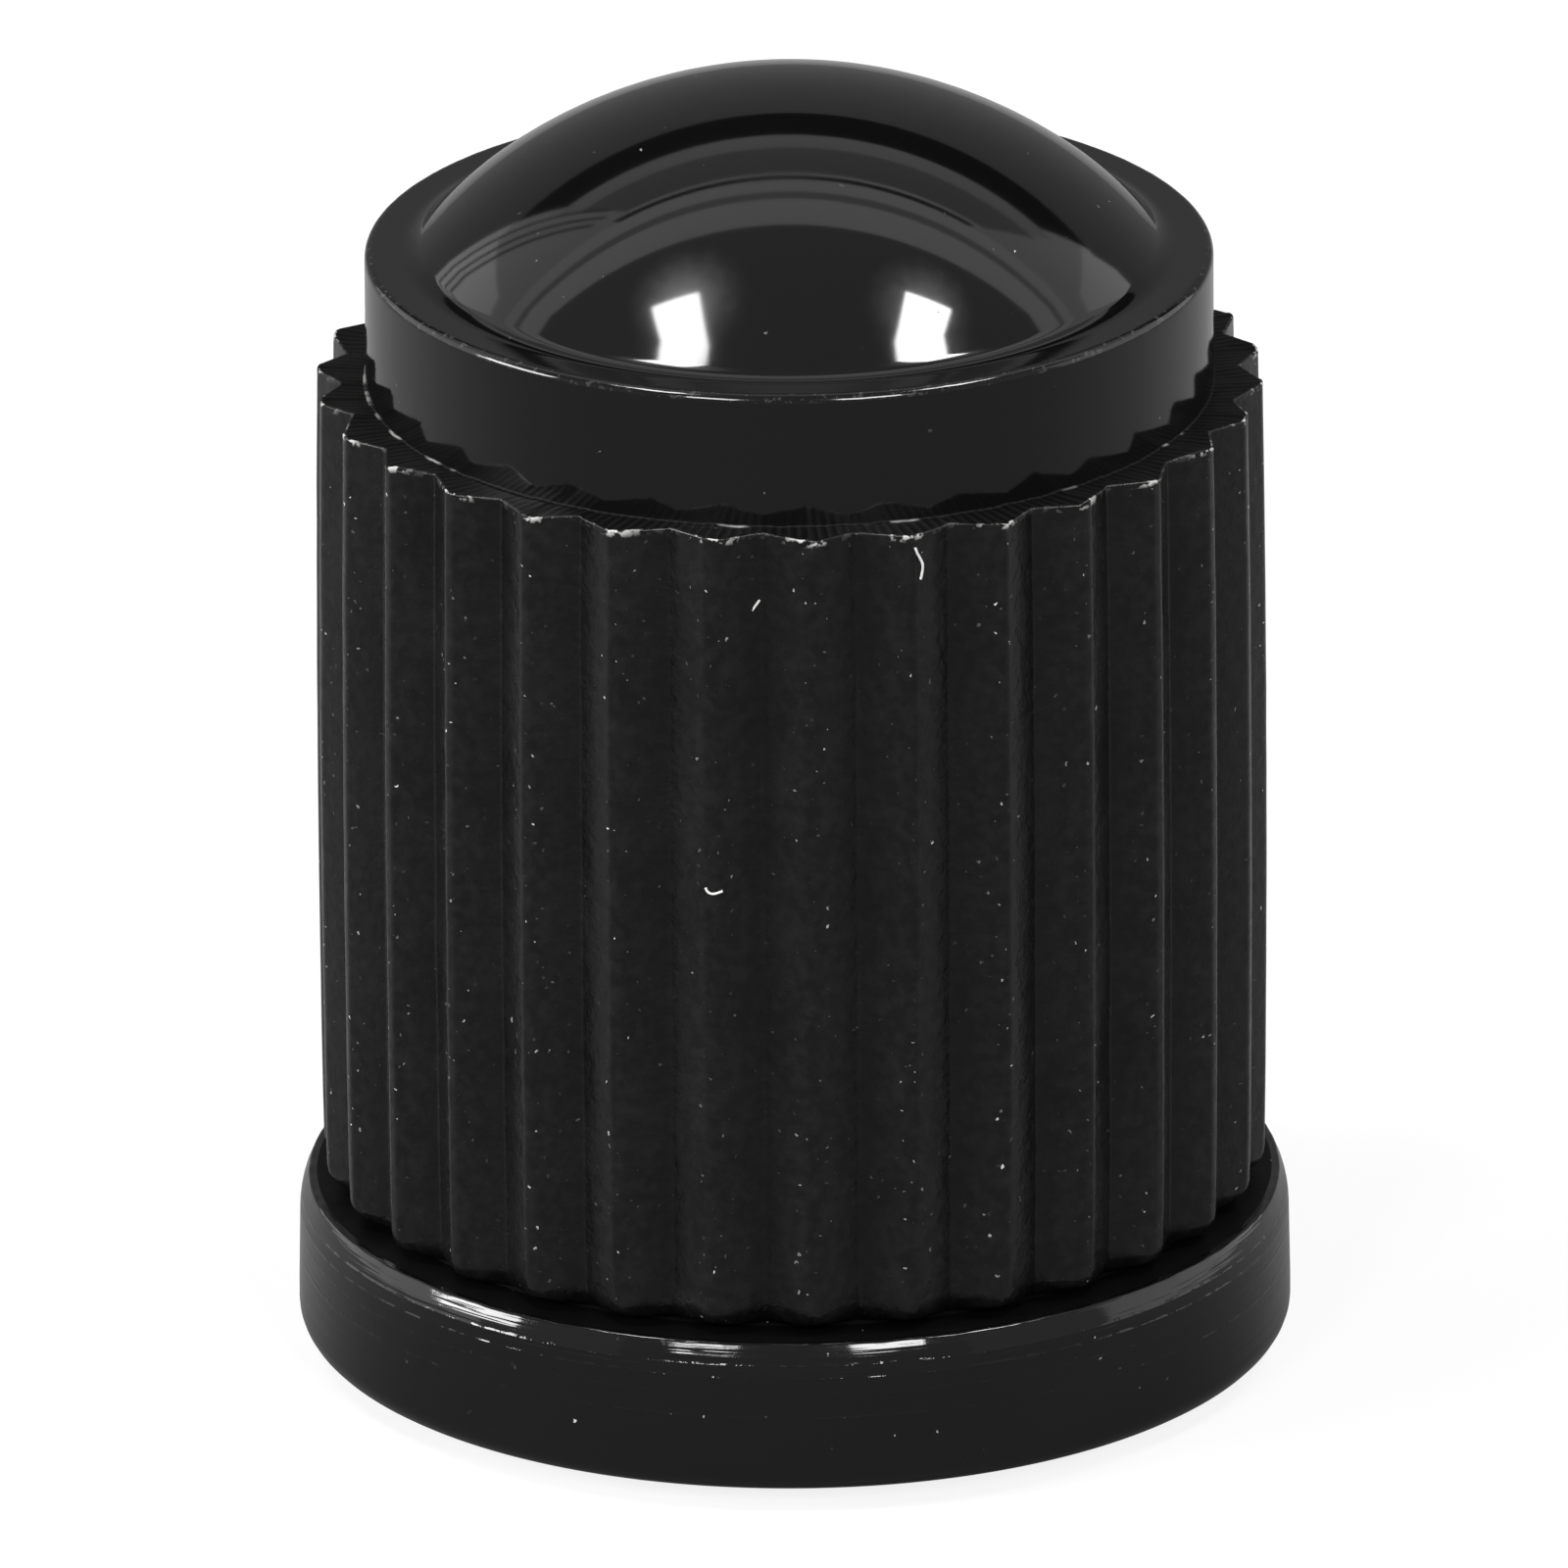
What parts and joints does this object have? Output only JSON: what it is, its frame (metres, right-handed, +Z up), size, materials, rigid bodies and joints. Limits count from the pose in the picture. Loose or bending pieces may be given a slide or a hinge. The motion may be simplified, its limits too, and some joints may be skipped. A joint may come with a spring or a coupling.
{
  "type": "tyre valve cap",
  "caption": "Moulded plastic cap that screws over a tyre valve: a flange at the open end, a ribbed grip, a plain collar and a domed closed top.",
  "frame": {"origin": "centre of the flange's bottom face, on which the cap stands with its mouth down", "axes": "+Z up along the cap's axis, from the open mouth to the domed top; +X and +Y across it, with a rib centred on +X"},
  "size_m": [0.01, 0.01, 0.0131],
  "materials": {
    "black_plastic": "glossy dome, satin collar and flange, finely grained ribs"
  },
  "bodies": {
    "root": {"valve_cap": "black_plastic"}
  },
  "joints": []
}
